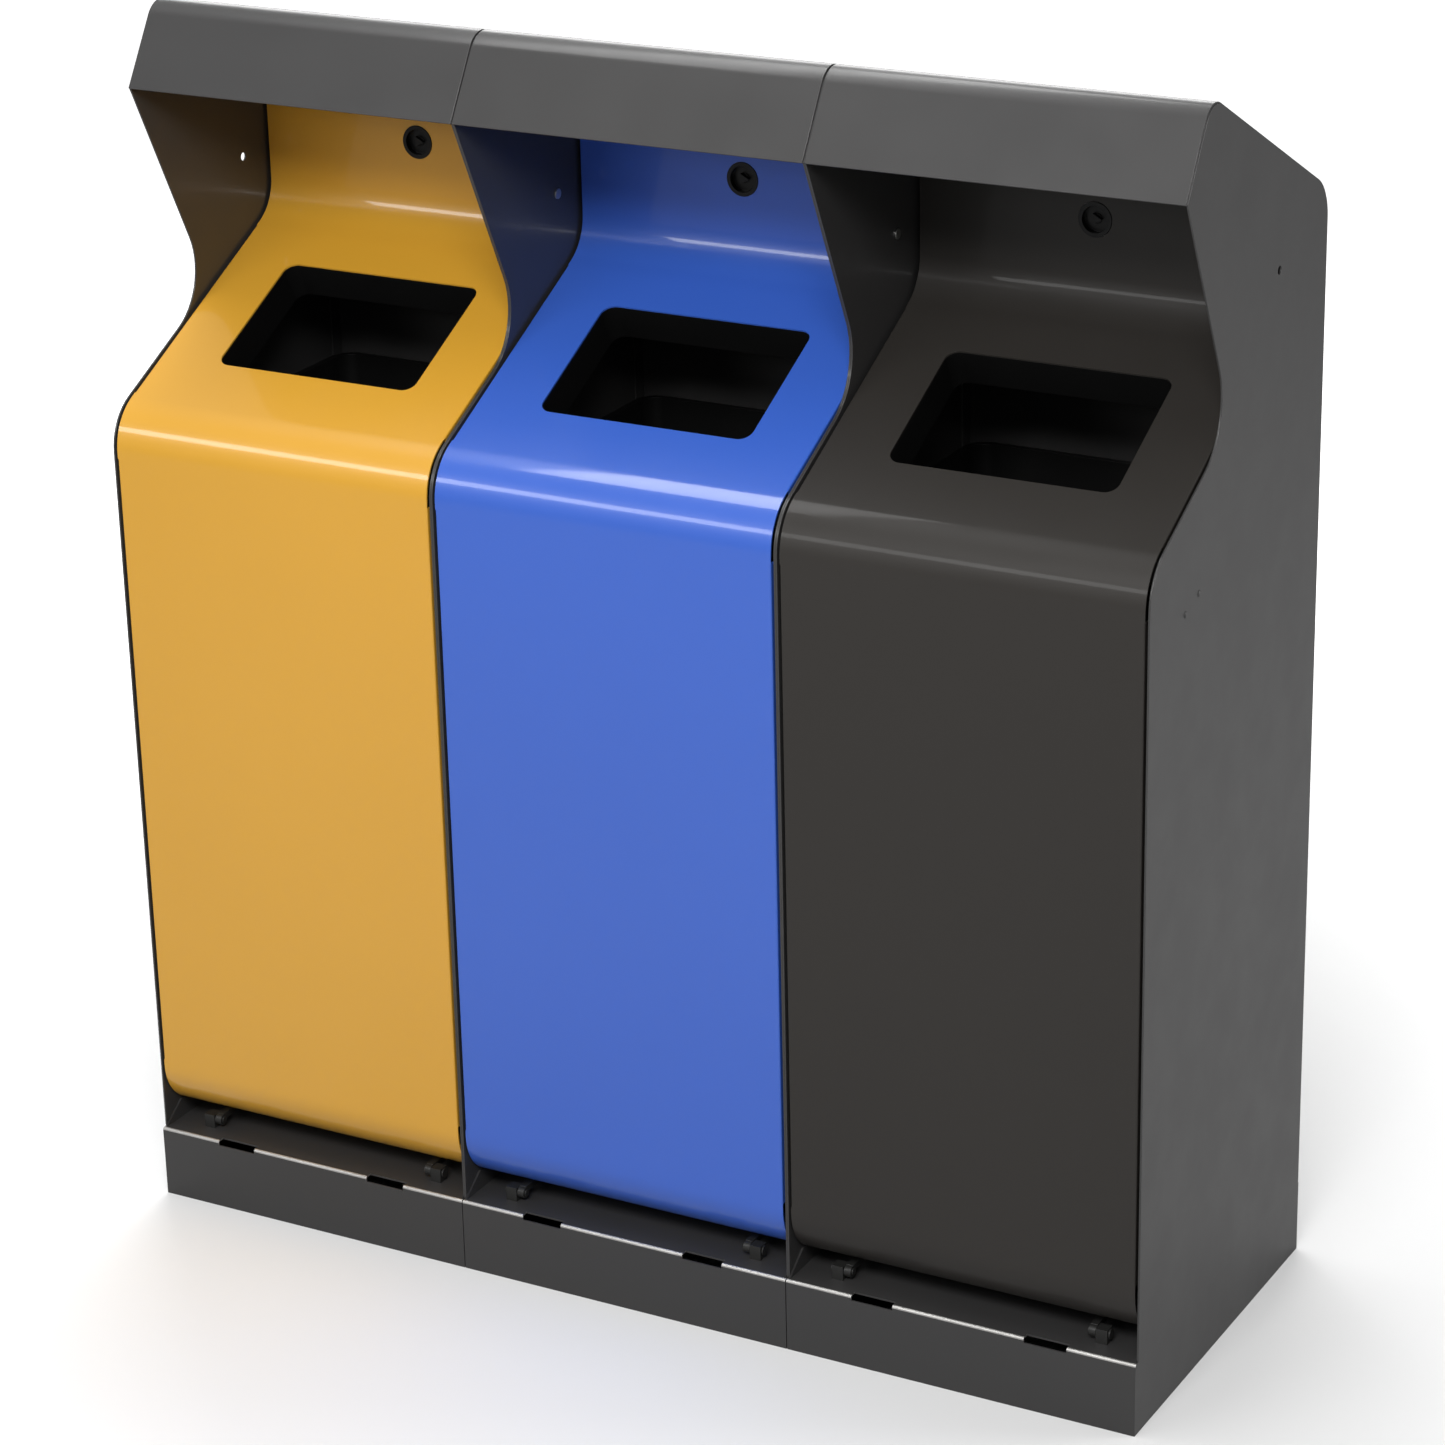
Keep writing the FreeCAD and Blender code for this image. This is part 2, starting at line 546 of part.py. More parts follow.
def makeHingeLugs(doc, bay):
    inner = "(%s / 2 - hingeWidth / 2 - lugGap - lugWidth)" % hingeSpacing
    outer = "(%s + lugWidth)" % inner
    foot = "(frontSetback + bottomReturn - lugFootDepth)"
    eye = rod(doc, "x", inner, hingeSetback, hingeHeight, "lugRadius", "lugWidth")
    arm = block(doc, inner, outer, hingeSetback, foot + " + lugFootDepth", hingeHeight, doorBottom)
    plate = block(doc, "%s - lugFootWidth" % outer, outer, foot, foot + " + lugFootDepth",
                  "%s - lugFootHeight" % doorBottom, doorBottom)
    bore = rod(doc, "x", inner, hingeSetback, hingeHeight, "pinRadius + runningClearance", "lugWidth")
    item = cut(doc, join(doc, eye, arm, plate), bore)
    return place(mirroredPair(doc, item), bays[bay] + "_hinge_lugs", bay)


def makeLiner(doc, bay):
    """Inner bin: open box with a rolled rim and a hand slot in each side."""
    body = newBody(doc, bays[bay] + "_liner", bay)
    height = "%s - %s" % (linerTop, linerFoot)

    def footprint(margin):
        return rectangle("-%s - (%s)" % (linerHalf, margin), "%s - (%s)" % (linerFront, margin),
                         "%s + (%s)" % (linerHalf, margin), "%s + (%s)" % (linerBack, margin))

    outside = outlineSketch(body, "XY_Plane", footprint("0"), lift=linerFoot)
    pad(body, outside, height)
    rim = outlineSketch(body, "XY_Plane", footprint("rimWidth"), lift=linerTop)
    pad(body, rim, "rimHeight", backwards=True)
    inside = outlineSketch(body, "XY_Plane", footprint("-wallGauge"), lift=linerTop)
    pocket(body, inside, "%s - wallGauge" % height)
    roundCorners(body, inside, (0, 1, 2, 3), "linerRadius - wallGauge")
    roundCorners(body, outside, (0, 1, 2, 3), "linerRadius")
    roundCorners(body, rim, (0, 1, 2, 3), "linerRadius + rimWidth")
    middle = "(%s + %s) / 2" % (linerFront, linerBack)
    level = "%s - handSlotDrop" % linerTop
    slot = rectangle("%s - handSlotLength / 2" % middle, "%s - handSlotHeight / 2" % level,
                     "%s + handSlotLength / 2" % middle, "%s + handSlotHeight / 2" % level)
    pocket(body, outlineSketch(body, "YZ_Plane", slot), "2 * (%s + rimWidth)" % linerHalf, symmetric=True)
    return body


# Fasteners that belong to the whole station.

def makeJoiningBolts(doc):
    """Low-headed screws through the paired side panels, into the sleeves of the nuts."""
    items = []
    for side in (-1, 1):
        seam = "(%d * bayPitch / 2)" % side
        start = "(%s - wallGauge - boltTip)" % seam
        shank = rod(doc, "x", start, joinSetback, joinHeight, "boltRadius", "2 * wallGauge + boltTip")
        head = rod(doc, "x", seam + " + wallGauge", joinSetback, joinHeight, "boltHeadRadius",
                   "boltHeadHeight")
        items.append(join(doc, shank, head))
    return place(group(doc, *items), "joining_bolts", 1)


def makeJoiningNuts(doc):
    items = []
    for side in (-1, 1):
        face = "(%d * bayPitch / 2 - wallGauge)" % side
        head = rod(doc, "x", "%s - boltHeadHeight" % face, joinSetback, joinHeight, "boltHeadRadius",
                   "boltHeadHeight")
        sleeve = rod(doc, "x", face, joinSetback, joinHeight, "joinHoleRadius - sleeveFit",
                     "2 * wallGauge - sleeveFit")
        bore = rod(doc, "x", "%s - boltTip" % face, joinSetback, joinHeight, "boltRadius",
                   "2 * wallGauge + boltTip")
        items.append(cut(doc, join(doc, head, sleeve), bore))
    return place(group(doc, *items), "joining_nuts", 1)


def makeSideRivets(doc):
    """Rivet heads of the liner guides on the station's two outer faces."""
    outerFace = "%s * bayPitch" % (len(bays) / 2)
    heads = []
    for side in (-1, 1):
        head = doc.addObject("Part::Cone", "rivet")
        head.Placement = FreeCAD.Placement(Vector(0, 0, 0), turns["x"])
        head.setExpression("Radius1", bound("rivetRadius"))
        head.setExpression("Radius2", bound("rivetTip"))
        head.setExpression("Height", bound("rivetHeight"))
        setPlace(head, outerFace, "%s + (guideLength + %d * rivetSpacing) / 2" % (guideFront, side),
                 "%s - (guideHeight - %d * rivetStagger) / 2" % (guideTop, side))
        heads.append(head)
    return place(mirroredPair(doc, group(doc, *heads)), "side_rivets", 1)


def makeStation(doc):
    items = []
    for bay in range(len(bays)):
        items.append(makePlinth(doc, bay))
        items.append(makeSidePanel(doc, bay, "left"))
        items.append(makeSidePanel(doc, bay, "right"))
        for make in (makeCanopy, makeBackPanel, makeLatchRail, makeHingeBlocks, makeHingePins,
                     makeDoorBuffers, makeLinerGuides, makeDoor, makeChute, makeLockBody,
                     makeLockNut, makeLockSpindle, makeLockCam, makeHingeLugs, makeLiner):
            items.append(make(doc, bay))
    items.append(makeJoiningBolts(doc))
    items.append(makeJoiningNuts(doc))
    items.append(makeSideRivets(doc))
    return items


def checkAndWrite(doc, items):
    failed = [item.Label for item in doc.Objects if "Invalid" in item.State or "Error" in item.State]
    failed += [item.Label for item in items if item.Shape.isNull() or not item.Shape.isValid()]
    if failed:
        raise RuntimeError("failed objects: " + ", ".join(failed))
    os.makedirs("parts", exist_ok=True)
    for item in items:
        item.Shape.exportStep("parts/%s.step" % item.Label)
        box = item.Shape.BoundBox
        print("%-26s solids %d volume %10.0f box %8.2f %8.2f %8.2f  %8.2f %8.2f %8.2f" % (
            item.Label, len(item.Shape.Solids), item.Shape.Volume,
            box.XMin, box.YMin, box.ZMin, box.XMax, box.YMax, box.ZMax))


doc = FreeCAD.newDocument("RecyclingStation")
makeSheet(doc)
station = makeStation(doc)
doc.recompute()
checkAndWrite(doc, station)
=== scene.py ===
import json
import math

import bmesh
import bpy
from mathutils import Matrix, Vector


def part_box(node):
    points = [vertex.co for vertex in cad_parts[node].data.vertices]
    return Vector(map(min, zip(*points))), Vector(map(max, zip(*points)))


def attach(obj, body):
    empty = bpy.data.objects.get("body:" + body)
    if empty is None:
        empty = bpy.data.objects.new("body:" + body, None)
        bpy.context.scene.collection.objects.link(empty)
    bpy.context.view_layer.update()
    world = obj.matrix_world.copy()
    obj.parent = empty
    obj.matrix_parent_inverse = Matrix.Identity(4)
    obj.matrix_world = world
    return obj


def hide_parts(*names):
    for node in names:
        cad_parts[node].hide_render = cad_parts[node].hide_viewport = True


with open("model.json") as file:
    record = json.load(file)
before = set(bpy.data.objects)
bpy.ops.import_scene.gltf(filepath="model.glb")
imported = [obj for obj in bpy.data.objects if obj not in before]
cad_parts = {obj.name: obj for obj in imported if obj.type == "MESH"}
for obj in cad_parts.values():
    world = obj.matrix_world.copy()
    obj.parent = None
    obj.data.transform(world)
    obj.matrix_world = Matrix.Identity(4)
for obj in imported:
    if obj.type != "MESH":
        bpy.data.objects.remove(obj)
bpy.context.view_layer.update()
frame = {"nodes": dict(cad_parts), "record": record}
record = frame["record"]
bodyOfNode = {node: body for body, nodes in record["behaviour"]["bodies"].items() for node in nodes}
slotOfNode = {row["node"]: row["material_slot"] for row in record["subparts"]}
bays = ("left_bay", "middle_bay", "right_bay")
print("frame loaded:", len(bodyOfNode), "nodes")


# Materials. Every finish has its own colour, gloss and surface grain.

noiseLow, noiseHigh = 0.15, 0.85
glossSwing = 0.12
noiseDetail = {"drift": 3, "gloss": 4, "grain": 2}


def addNode(tree, kind, **values):
    node = tree.nodes.new("ShaderNode" + kind)
    for name, value in values.items():
        node.inputs[name].default_value = value
    return node


def objectNoise(tree, scale, detail):
    coordinates = tree.nodes.new("ShaderNodeTexCoord")
    noise = addNode(tree, "TexNoise", Scale=scale, Detail=detail)
    tree.links.new(coordinates.outputs["Object"], noise.inputs["Vector"])
    return noise.outputs["Fac"]


def spread(tree, source, low, high):
    ramp = tree.nodes.new("ShaderNodeMapRange")
    ramp.interpolation_type = "SMOOTHSTEP"
    ramp.inputs["From Min"].default_value = noiseLow
    ramp.inputs["From Max"].default_value = noiseHigh
    ramp.inputs["To Min"].default_value = low
    ramp.inputs["To Max"].default_value = high
    tree.links.new(source, ramp.inputs["Value"])
    return ramp.outputs["Result"]


def makeFinish(name, look):
    material = bpy.data.materials.new(name)
    material.use_nodes = True
    tree = material.node_tree
    shader = tree.nodes["Principled BSDF"]
    shader.inputs["Metallic"].default_value = look.get("metallic", 0.0)
    shader.inputs["Specular IOR Level"].default_value = look.get("specular", 0.5)
    shader.inputs["Coat Weight"].default_value = look.get("coat", 0.0)
    shader.inputs["Coat Roughness"].default_value = look.get("coatRoughness", 0.07)
    # Broad, faint drift in shade and gloss over the whole sheet.
    drift = objectNoise(tree, look["driftScale"], noiseDetail["drift"])
    shade = tree.nodes.new("ShaderNodeMix")
    shade.data_type = "RGBA"
    dark = [channel * (1 - look["drift"]) for channel in look["colour"]]
    light = [min(1, channel * (1 + look["drift"])) for channel in look["colour"]]
    shade.inputs[6].default_value = (*dark, 1)
    shade.inputs[7].default_value = (*light, 1)
    tree.links.new(spread(tree, drift, 0, 1), shade.inputs[0])
    tree.links.new(shade.outputs[2], shader.inputs["Base Color"])
    gloss = objectNoise(tree, look["glossScale"], noiseDetail["gloss"])
    roughest = look["roughness"] * (1 + glossSwing)
    smoothest = look["roughness"] * (1 - glossSwing)
    tree.links.new(spread(tree, gloss, smoothest, roughest), shader.inputs["Roughness"])
    # Fine orange peel or grain.
    grain = objectNoise(tree, look["grainScale"], noiseDetail["grain"])
    bump = addNode(tree, "Bump", Strength=look["grain"], Distance=look["grainDepth"])
    tree.links.new(grain, bump.inputs["Height"])
    tree.links.new(bump.outputs["Normal"], shader.inputs["Normal"])
    return material


powder = {"driftScale": 2.2, "drift": 0.025, "glossScale": 14, "grainScale": 420, "grain": 0.05,
          "grainDepth": 0.00003}
looks = {
    "grey_powder": {**powder, "colour": (0.042, 0.041, 0.041), "roughness": 0.42, "grain": 0.1, "coat": 0.3,
                    "coatRoughness": 0.16},
    "yellow_powder": {**powder, "colour": (0.74, 0.38, 0.034), "roughness": 0.32, "coat": 0.8},
    "blue_powder": {**powder, "colour": (0.043, 0.132, 0.60), "roughness": 0.32, "coat": 0.7},
    "charcoal_powder": {**powder, "colour": (0.031, 0.028, 0.025), "roughness": 0.45, "coat": 0.15,
                        "specular": 0.3},
    "black_sheet": {**powder, "colour": (0.005, 0.005, 0.005), "roughness": 0.38, "specular": 0.35},
    "lock_black": {**powder, "colour": (0.004, 0.004, 0.004), "roughness": 0.35, "specular": 0.35},
    "dark_steel": {**powder, "colour": (0.020, 0.020, 0.019), "roughness": 0.42, "glossScale": 90},
    "zinc": {**powder, "colour": (0.62, 0.62, 0.60), "roughness": 0.32, "metallic": 1.0, "drift": 0.06,
             "glossScale": 60},
    "rubber": {**powder, "colour": (0.018, 0.018, 0.018), "roughness": 0.7},
}
finishes = {name: makeFinish(name, look) for name, look in looks.items()}
# Pale metallic finish for the painted highlight along the plinth folds.
paintedHighlightEdge = makeFinish("painted_highlight_edge", {**powder, "colour": (0.60, 0.59, 0.57), "roughness": 0.45, "metallic": 0.9,
                                  "driftScale": 30, "drift": 0.08})
print("materials made:", len(finishes))


# Finishing shared by all pieces.

edgeFinish = {"width": 0.0004, "segments": 2, "angle": math.radians(35)}
tolerance = {"merge": 2e-6, "flat": math.radians(0.8), "cut": 1e-7, "border": 1e-6, "step": 1e-4,
             "direction": 1e-3}


def finishPiece(name, mesh, node, bevel=edgeFinish["width"], gauge=0.0):
    piece = bpy.data.objects.new(name, mesh)
    bpy.context.scene.collection.objects.link(piece)
    for polygon in mesh.polygons:
        polygon.use_smooth = True
    if gauge:
        wall = piece.modifiers.new("wall", "SOLIDIFY")
        wall.thickness = gauge
        wall.offset = -1
        wall.use_even_offset = True
    if bevel:
        edge = piece.modifiers.new("edge", "BEVEL")
        edge.width = bevel
        edge.segments = edgeFinish["segments"]
        edge.limit_method = "ANGLE"
        edge.angle_limit = edgeFinish["angle"]
        edge.harden_normals = True
    piece.modifiers.new("shading", "WEIGHTED_NORMAL").keep_sharp = True
    mesh.materials.clear()
    mesh.materials.append(finishes[slotOfNode[node]])
    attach(piece, bodyOfNode[node])
    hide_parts(node)


def meshFrom(bm, name):
    mesh = bpy.data.meshes.new(name)
    bm.to_mesh(mesh)
    bm.free()
    return mesh


def paintHighlightStrip(piece, test):
    # Painted highlight: the faces that pass the test get a pale metallic finish, which stands in for the
    # bright highlight along a sharp fold.
    piece.data.materials.append(paintedHighlightEdge)
    for polygon in piece.data.polygons:
        if test(polygon.center):
            polygon.material_index = len(piece.data.materials) - 1


def refine(node, bevel=edgeFinish["width"]):
    # The same solid with merged corners, whole flat faces and softened edges.
    bm = bmesh.new()
    bm.from_mesh(frame["nodes"][node].data)
    bmesh.ops.remove_doubles(bm, verts=bm.verts, dist=tolerance["merge"])
    bmesh.ops.dissolve_limit(bm, angle_limit=tolerance["flat"], use_dissolve_boundaries=False,
                             verts=bm.verts, edges=bm.edges, delimit=set())
    finishPiece(node + "_finished", meshFrom(bm, node + "_finished"), node, bevel)


# Folded sheet: a flat pattern with its holes, laid along a path of straight runs and bends.

def foldPath(corners, radii):
    points = [Vector(corner) for corner in corners]
    stretches = []
    reach = 0.0
    start = points[0]
    for i in range(1, len(points)):
        ahead = (points[i] - points[i - 1]).normalized()
        turn = setback = 0.0
        if i < len(points) - 1:
            beyond = (points[i + 1] - points[i]).normalized()
            turn = math.atan2(ahead.x * beyond.y - ahead.y * beyond.x, ahead.dot(beyond))
            setback = radii[i - 1] * math.tan(abs(turn) / 2)
        end = points[i] - ahead * setback
        run = (end - start).length
        stretches.append((reach, reach + run, start, ahead, 0.0))
        reach += run
        if turn:
            arc = abs(turn) * radii[i - 1]
            stretches.append((reach, reach + arc, end, ahead, turn))
            reach += arc
            start = points[i] + beyond * setback
    return stretches


def alongPath(stretches, distance):
    for low, high, start, ahead, turn in stretches:
        if distance <= high + 1e-9:
            break
    travelled = min(max(distance - low, 0.0), high - low)
    if not turn:
        return start + ahead * travelled
    radius = (high - low) / turn
    centre = start + Vector((-ahead.y, ahead.x)) * radius
    return centre + Matrix.Rotation(turn * travelled / (high - low), 2) @ (start - centre)


def patternHole(bm, hole):
    if "radius" in hole and "width" not in hole:
        bmesh.ops.create_circle(bm, segments=hole["segments"], radius=hole["radius"],
                                matrix=Matrix.Translation((hole["x"], hole["along"], 0)))
        return
    shape = Matrix.Translation((hole["x"], hole["along"], 0)) @ Matrix.Diagonal(
        (hole["width"], hole["length"], 1, 1))
    corners = bmesh.ops.create_grid(bm, x_segments=1, y_segments=1, size=0.5, matrix=shape)["verts"]
    bmesh.ops.bevel(bm, geom=corners, affect="VERTICES", offset=hole["radius"],
                    offset_type="OFFSET", segments=hole["segments"], profile=0.5, material=-1)


def foldedSheet(name, middle, width, stretches, bendRows, holes=(), flanges=(), flangeDepth=0.0,
                flangeBend=0.0, bendSegments=4):
    length = stretches[-1][1]
    bm = bmesh.new()
    shape = Matrix.Translation((0, length / 2, 0)) @ Matrix.Diagonal((width, length, 1, 1))
    bmesh.ops.create_grid(bm, x_segments=1, y_segments=1, size=0.5, matrix=shape)
    for hole in holes:
        patternHole(bm, hole)
    bmesh.ops.delete(bm, geom=bm.faces[:], context="FACES_ONLY")
    bmesh.ops.triangle_fill(bm, use_beauty=True, edges=bm.edges[:])
    rows = [end for stretch in flanges for end in stretch]
    for low, high, start, ahead, turn in stretches:
        if turn:
            rows += [low + (high - low) * i / bendRows for i in range(bendRows + 1)]
    for row in rows:
        bmesh.ops.bisect_plane(bm, geom=bm.verts[:] + bm.edges[:] + bm.faces[:], dist=tolerance["cut"],
                               plane_co=(0, row, 0), plane_no=(0, 1, 0))
    folds = []
    for low, high in flanges:
        for edge in bm.edges:
            mid = (edge.verts[0].co + edge.verts[1].co) / 2
            if low < mid.y < high and abs(abs(mid.x) - width / 2) < tolerance["border"]:
                folds.append((edge, mid.y))
    inward = {}
    for edge, along in folds:
        step = tolerance["step"]
        tangent = alongPath(stretches, along + step) - alongPath(stretches, along - step)
        inward[edge] = Vector((0, tangent.y, -tangent.x)).normalized()
    for vertex in bm.verts:
        spot = alongPath(stretches, vertex.co.y)
        vertex.co = (middle + vertex.co.x, spot.x, spot.y)
    bm.normal_update()
    bends = [edge for edge, along in folds]
    for key in sorted({tuple(round(c, 4) for c in direction) for direction in inward.values()}):
        edges = [edge for edge, way in inward.items() if (way - Vector(key)).length < tolerance["direction"]]
        made = bmesh.ops.extrude_edge_only(bm, edges=edges)["geom"]
        verts = [item for item in made if isinstance(item, bmesh.types.BMVert)]
        bmesh.ops.translate(bm, verts=verts, vec=Vector(key) * flangeDepth)
    if bends:
        bmesh.ops.bevel(bm, geom=bends, affect="EDGES", offset=flangeBend, offset_type="OFFSET",
                        segments=bendSegments, profile=0.5, material=-1, clamp_overlap=True)
    bmesh.ops.recalc_face_normals(bm, faces=bm.faces[:])
    front = max(bm.faces, key=lambda face: face.calc_area() * (1 if abs(face.normal.x) < 0.5 else 0))
    if front.normal.y > 0 and front.normal.z < 0.1:
        bmesh.ops.reverse_faces(bm, faces=bm.faces[:])
    return meshFrom(bm, name)


# Doors.

door = {"gauge": 0.002, "bottomReturn": 0.075, "curlRadius": 0.060, "kneeRise": 0.822, "kneeRadius": 0.060,
        "slopeAngle": math.radians(27.2), "upperRadius": 0.050, "topReturn": 0.015, "topRadius": 0.003,
        "flangeDepth": 0.021, "flangeBend": 0.0018, "relief": 0.008, "edge": 0.0005,
        "apertureWidth": 0.246, "apertureStart": 0.102, "apertureLength": 0.1633, "apertureRadius": 0.014,
        "cornerSegments": 10, "lockHole": 0.0185, "lockSegments": 64, "bendRows": 16}


def makeDoor(bay):
    node = bay + "_door"
    low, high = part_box(node)
    middle = (low.x + high.x) / 2
    knee = low.z + door["kneeRise"]
    upper = high.y - door["topReturn"]
    slopeTop = knee + (upper - low.y) * math.tan(door["slopeAngle"])
    corners = [(low.y + door["bottomReturn"], low.z), (low.y, low.z), (low.y, knee), (upper, slopeTop),
               (upper, high.z), (high.y, high.z)]
    stretches = foldPath(corners, (door["curlRadius"], door["kneeRadius"], door["upperRadius"],
                                   door["topRadius"]))
    frontRun, slopeRun, upperRun = stretches[2], stretches[4], stretches[6]
    kneeSetback = (slopeRun[2] - Vector((low.y, knee))).length
    apertureMiddle = slopeRun[0] - kneeSetback + door["apertureStart"] + door["apertureLength"] / 2
    lockLow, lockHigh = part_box(bay + "_lock_body")
    lockAlong = upperRun[0] + (lockLow.z + lockHigh.z) / 2 - upperRun[2].y
    holes = [
        {"x": 0, "along": apertureMiddle, "width": door["apertureWidth"], "length": door["apertureLength"],
         "radius": door["apertureRadius"], "segments": door["cornerSegments"]},
        {"x": 0, "along": lockAlong, "radius": door["lockHole"], "segments": door["lockSegments"]},
    ]
    flanges = [(run[0] + door["relief"], run[1] - door["relief"]) for run in (frontRun, slopeRun)]
    mesh = foldedSheet(node + "_panel", middle, high.x - low.x, stretches, door["bendRows"], holes,
                       flanges, door["flangeDepth"], door["flangeBend"])
    finishPiece(node + "_panel", mesh, node, door["edge"], door["gauge"])


for bay in bays:
    makeDoor(bay)
print("doors folded")


# Canopies.

canopy = {"gauge": 0.002, "lipRise": 0.117985, "visorLean": math.radians(32), "visorHeight": 0.0915,
          "visorRadius": 0.028, "roofAngle": math.radians(27.2), "eaveRadius": 0.050,
          "edge": 0.0005, "bendRows": 16}


def makeCanopy(bay):
    node = bay + "_canopy"
    low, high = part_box(node)
    lip = low.z + canopy["lipRise"]
    ridge = (low.y + canopy["visorHeight"] * math.tan(canopy["visorLean"]), lip + canopy["visorHeight"])
    eave = ridge[1] - (high.y - ridge[0]) * math.tan(canopy["roofAngle"])
    corners = [(low.y, lip), ridge, (high.y, eave), (high.y, low.z)]
    stretches = foldPath(corners, (canopy["visorRadius"], canopy["eaveRadius"]))
    mesh = foldedSheet(node + "_cover", (low.x + high.x) / 2, high.x - low.x, stretches,
                       canopy["bendRows"])
    finishPiece(node + "_cover", mesh, node, canopy["edge"], canopy["gauge"])


for bay in bays:
    makeCanopy(bay)
print("canopies folded")


# Pieces whose shape stays as it is, with softened edges.

refinedNodes = ("plinth", "left_side", "right_side", "back_panel", "latch_rail", "hinge_blocks", "hinge_pins",
                "door_buffers", "liner_guides", "chute", "lock_body", "lock_nut", "lock_spindle",
                "lock_cam", "hinge_lugs", "liner")
for bay in bays:
    for name in refinedNodes:
        refine("%s_%s" % (bay, name))

# Painted highlight along each plinth's front fold: the faces in the fold take the pale metallic finish.
plinthFold = 0.003
for bay in bays:
    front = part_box(bay + "_plinth")[0].y + plinthFold
    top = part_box(bay + "_back_panel")[0].z - plinthFold
    paintHighlightStrip(bpy.data.objects[bay + "_plinth_finished"],
                lambda spot: spot.y < front and spot.z > top)

fastenerEdge = 0.0003
for name in ("joining_bolts", "joining_nuts", "side_rivets"):
    refine(name, fastenerEdge)
print("other pieces finished")


# Floor, light and camera.

studio = {"floorSize": 40.0, "floorRoughness": 0.6, "floorSpecular": 0.2, "bounce": 0.42,
          "floorWhite": 0.90, "glow": 0.75, "glowStart": 0.6, "glowEnd": 2.4, "horizon": 0.24,
          "zenith": 0.42}


def makeFloor():
    bm = bmesh.new()
    bmesh.ops.create_grid(bm, x_segments=1, y_segments=1, size=studio["floorSize"] / 2)
    floor = bpy.data.objects.new("studio_floor", meshFrom(bm, "studio_floor"))
    bpy.context.scene.collection.objects.link(floor)
    material = bpy.data.materials.new("pale_floor")
    material.use_nodes = True
    tree = material.node_tree
    shader = tree.nodes["Principled BSDF"]
    shader.inputs["Roughness"].default_value = studio["floorRoughness"]
    shader.inputs["Specular IOR Level"].default_value = studio["floorSpecular"]
    shader.inputs["Emission Color"].default_value = (1, 1, 1, 1)
    # White to the lens and mid grey in the light it throws back, with a glow well away from the object.
    rays = tree.nodes.new("ShaderNodeLightPath")
    tone = tree.nodes.new("ShaderNodeMapRange")
    tone.inputs["To Min"].default_value = studio["bounce"]
    tone.inputs["To Max"].default_value = studio["floorWhite"]
    tree.links.new(rays.outputs["Is Camera Ray"], tone.inputs["Value"])
    tree.links.new(tone.outputs["Result"], shader.inputs["Base Color"])
    coordinates = tree.nodes.new("ShaderNodeTexCoord")
    reach = tree.nodes.new("ShaderNodeVectorMath")
    reach.operation = "LENGTH"
    tree.links.new(coordinates.outputs["Object"], reach.inputs[0])
    fade = tree.nodes.new("ShaderNodeMapRange")
    fade.interpolation_type = "SMOOTHSTEP"
    fade.inputs["From Min"].default_value = studio["glowStart"]
    fade.inputs["From Max"].default_value = studio["glowEnd"]
    fade.inputs["To Max"].default_value = studio["glow"]
    tree.links.new(reach.outputs["Value"], fade.inputs["Value"])
    glow = tree.nodes.new("ShaderNodeMath")
    glow.operation = "MULTIPLY"
    tree.links.new(rays.outputs["Is Camera Ray"], glow.inputs[0])
    tree.links.new(fade.outputs["Result"], glow.inputs[1])
    tree.links.new(glow.outputs[0], shader.inputs["Emission Strength"])
    floor.data.materials.append(material)


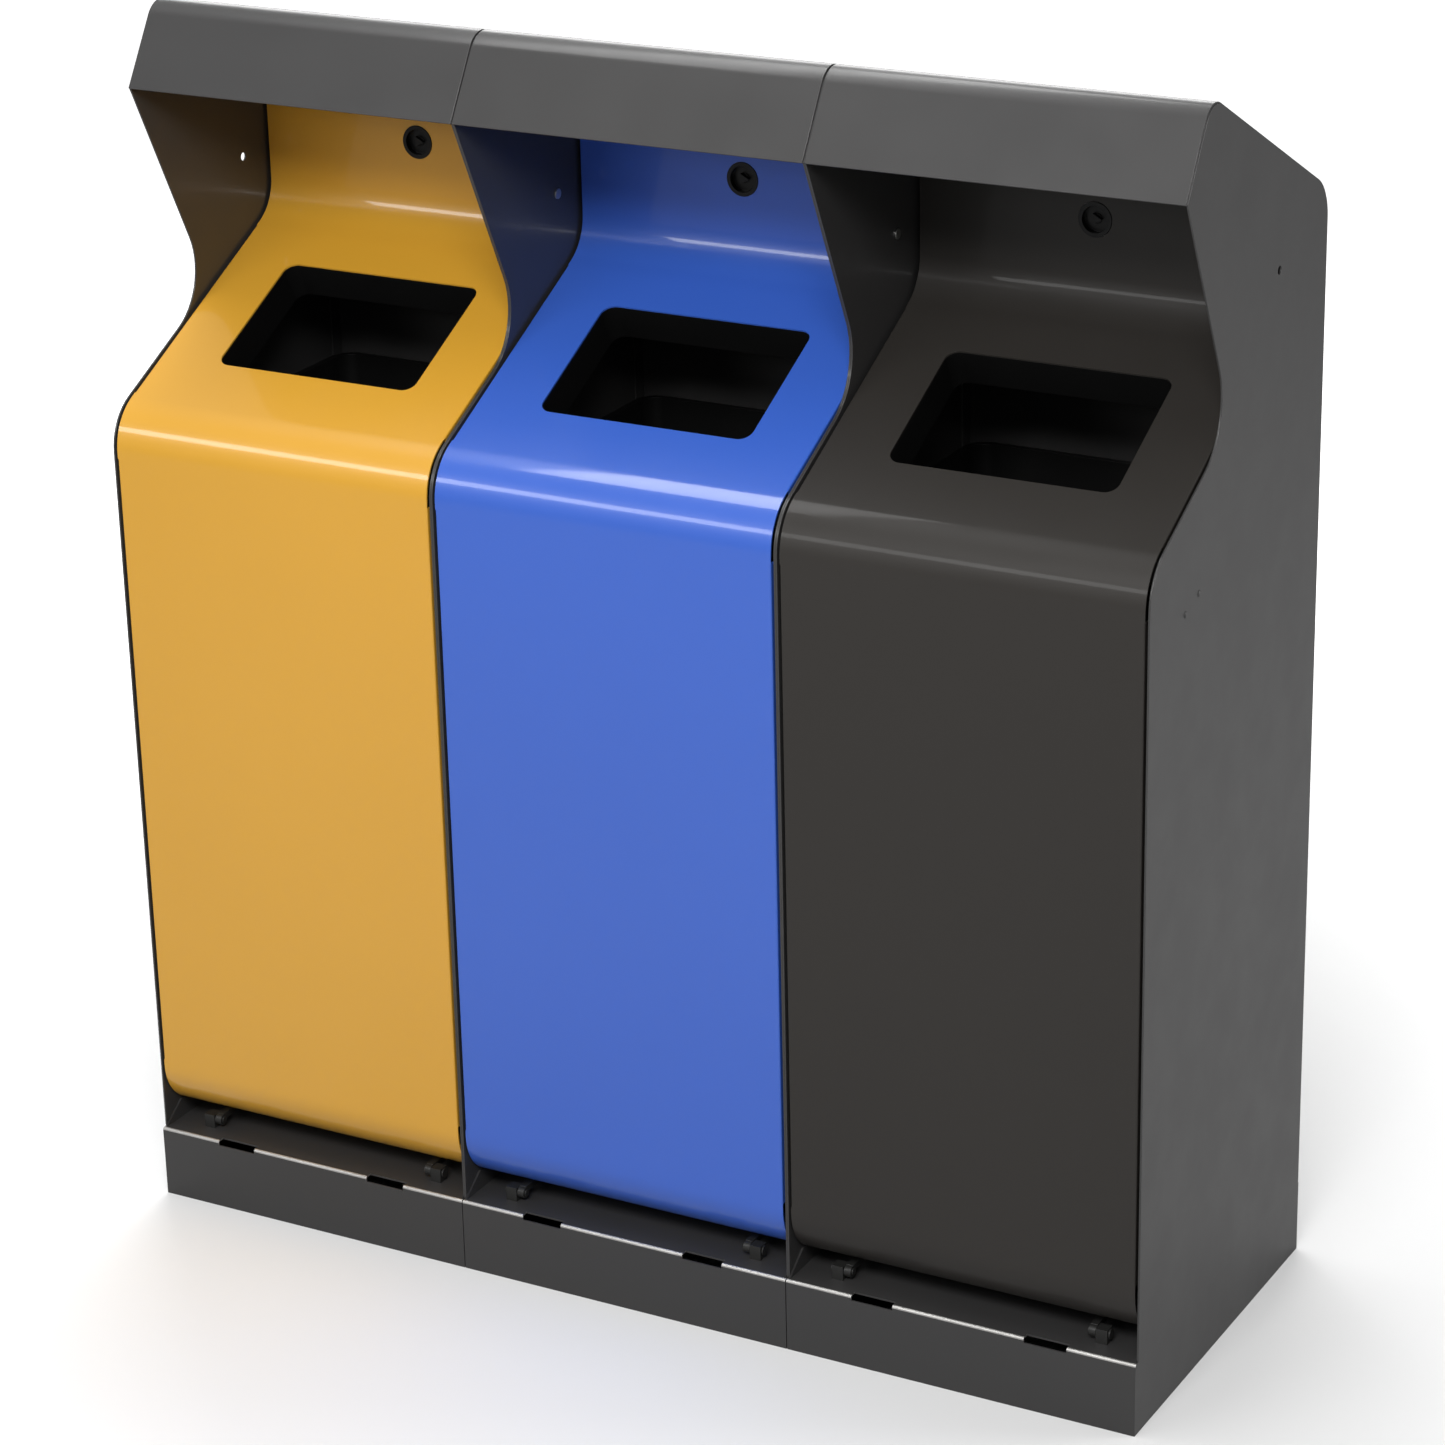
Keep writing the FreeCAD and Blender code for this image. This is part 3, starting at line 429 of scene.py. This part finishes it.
lamps = {
    "key_softbox": {"place": (1.1, -3.1, 3.3), "aim": (0, 0, 0.7), "size": (2.0, 1.0), "power": 110},
    "knee_strip": {"place": (-1.5, -2.8, 2.1), "aim": (0, 0, 0.9), "size": (2.2, 0.42), "power": 20},
    "ridge_softbox": {"place": (-1.0, 0.25, 3.4), "aim": (0, 0, 1.3), "size": (2.8, 0.5), "power": 34},
    "back_softbox": {"place": (-1.6, 3.4, 2.6), "aim": (0, 0, 1.3), "size": (3.6, 1.6), "power": 75},
    "side_softbox": {"place": (3.6, 1.6, 1.4), "aim": (0.6, 0, 0.7), "size": (1.2, 1.8), "power": 45},
}


def makeLamps():
    for name, lamp in lamps.items():
        data = bpy.data.lights.new(name, "AREA")
        data.shape = "RECTANGLE"
        data.size, data.size_y = lamp["size"]
        data.energy = lamp["power"]
        item = bpy.data.objects.new(name, data)
        item.location = lamp["place"]
        item.rotation_euler = (Vector(lamp["aim"]) - item.location).to_track_quat("-Z", "Y").to_euler()
        bpy.context.scene.collection.objects.link(item)


def makeSky():
    # Brighter overhead than at the horizon.
    world = bpy.data.worlds.new("studio")
    world.use_nodes = True
    tree = world.node_tree
    sky = tree.nodes["Background"]
    sky.inputs["Color"].default_value = (1, 1, 1, 1)
    coordinates = tree.nodes.new("ShaderNodeTexCoord")
    split = tree.nodes.new("ShaderNodeSeparateXYZ")
    height = tree.nodes.new("ShaderNodeMapRange")
    height.inputs["To Min"].default_value = studio["horizon"]
    height.inputs["To Max"].default_value = studio["zenith"]
    tree.links.new(coordinates.outputs["Generated"], split.inputs[0])
    tree.links.new(split.outputs["Z"], height.inputs["Value"])
    tree.links.new(height.outputs["Result"], sky.inputs["Strength"])
    bpy.context.scene.world = world


view = {"azimuth": math.radians(29.104), "elevation": math.radians(21.487), "roll": math.radians(-1.341),
        "distance": 4.5889, "lens": 106.8, "sensor": 36, "aim": (0.0124, 0.0066, 0.5993)}


def makeCamera():
    data = bpy.data.cameras.new("camera")
    data.lens = view["lens"]
    data.sensor_width = view["sensor"]
    camera = bpy.data.objects.new("camera", data)
    bpy.context.scene.collection.objects.link(camera)
    level = math.cos(view["elevation"])
    back = Vector((math.sin(view["azimuth"]) * level, -math.cos(view["azimuth"]) * level,
                   math.sin(view["elevation"])))
    turn = back.to_track_quat("Z", "Y").to_matrix() @ Matrix.Rotation(view["roll"], 3, "Z")
    camera.matrix_world = Matrix.Translation(Vector(view["aim"]) + back * view["distance"]) @ turn.to_4x4()
    bpy.context.scene.camera = camera


makeFloor()
makeLamps()
makeSky()
makeCamera()
bpy.context.scene.view_settings.view_transform = "Standard"
print("studio ready")
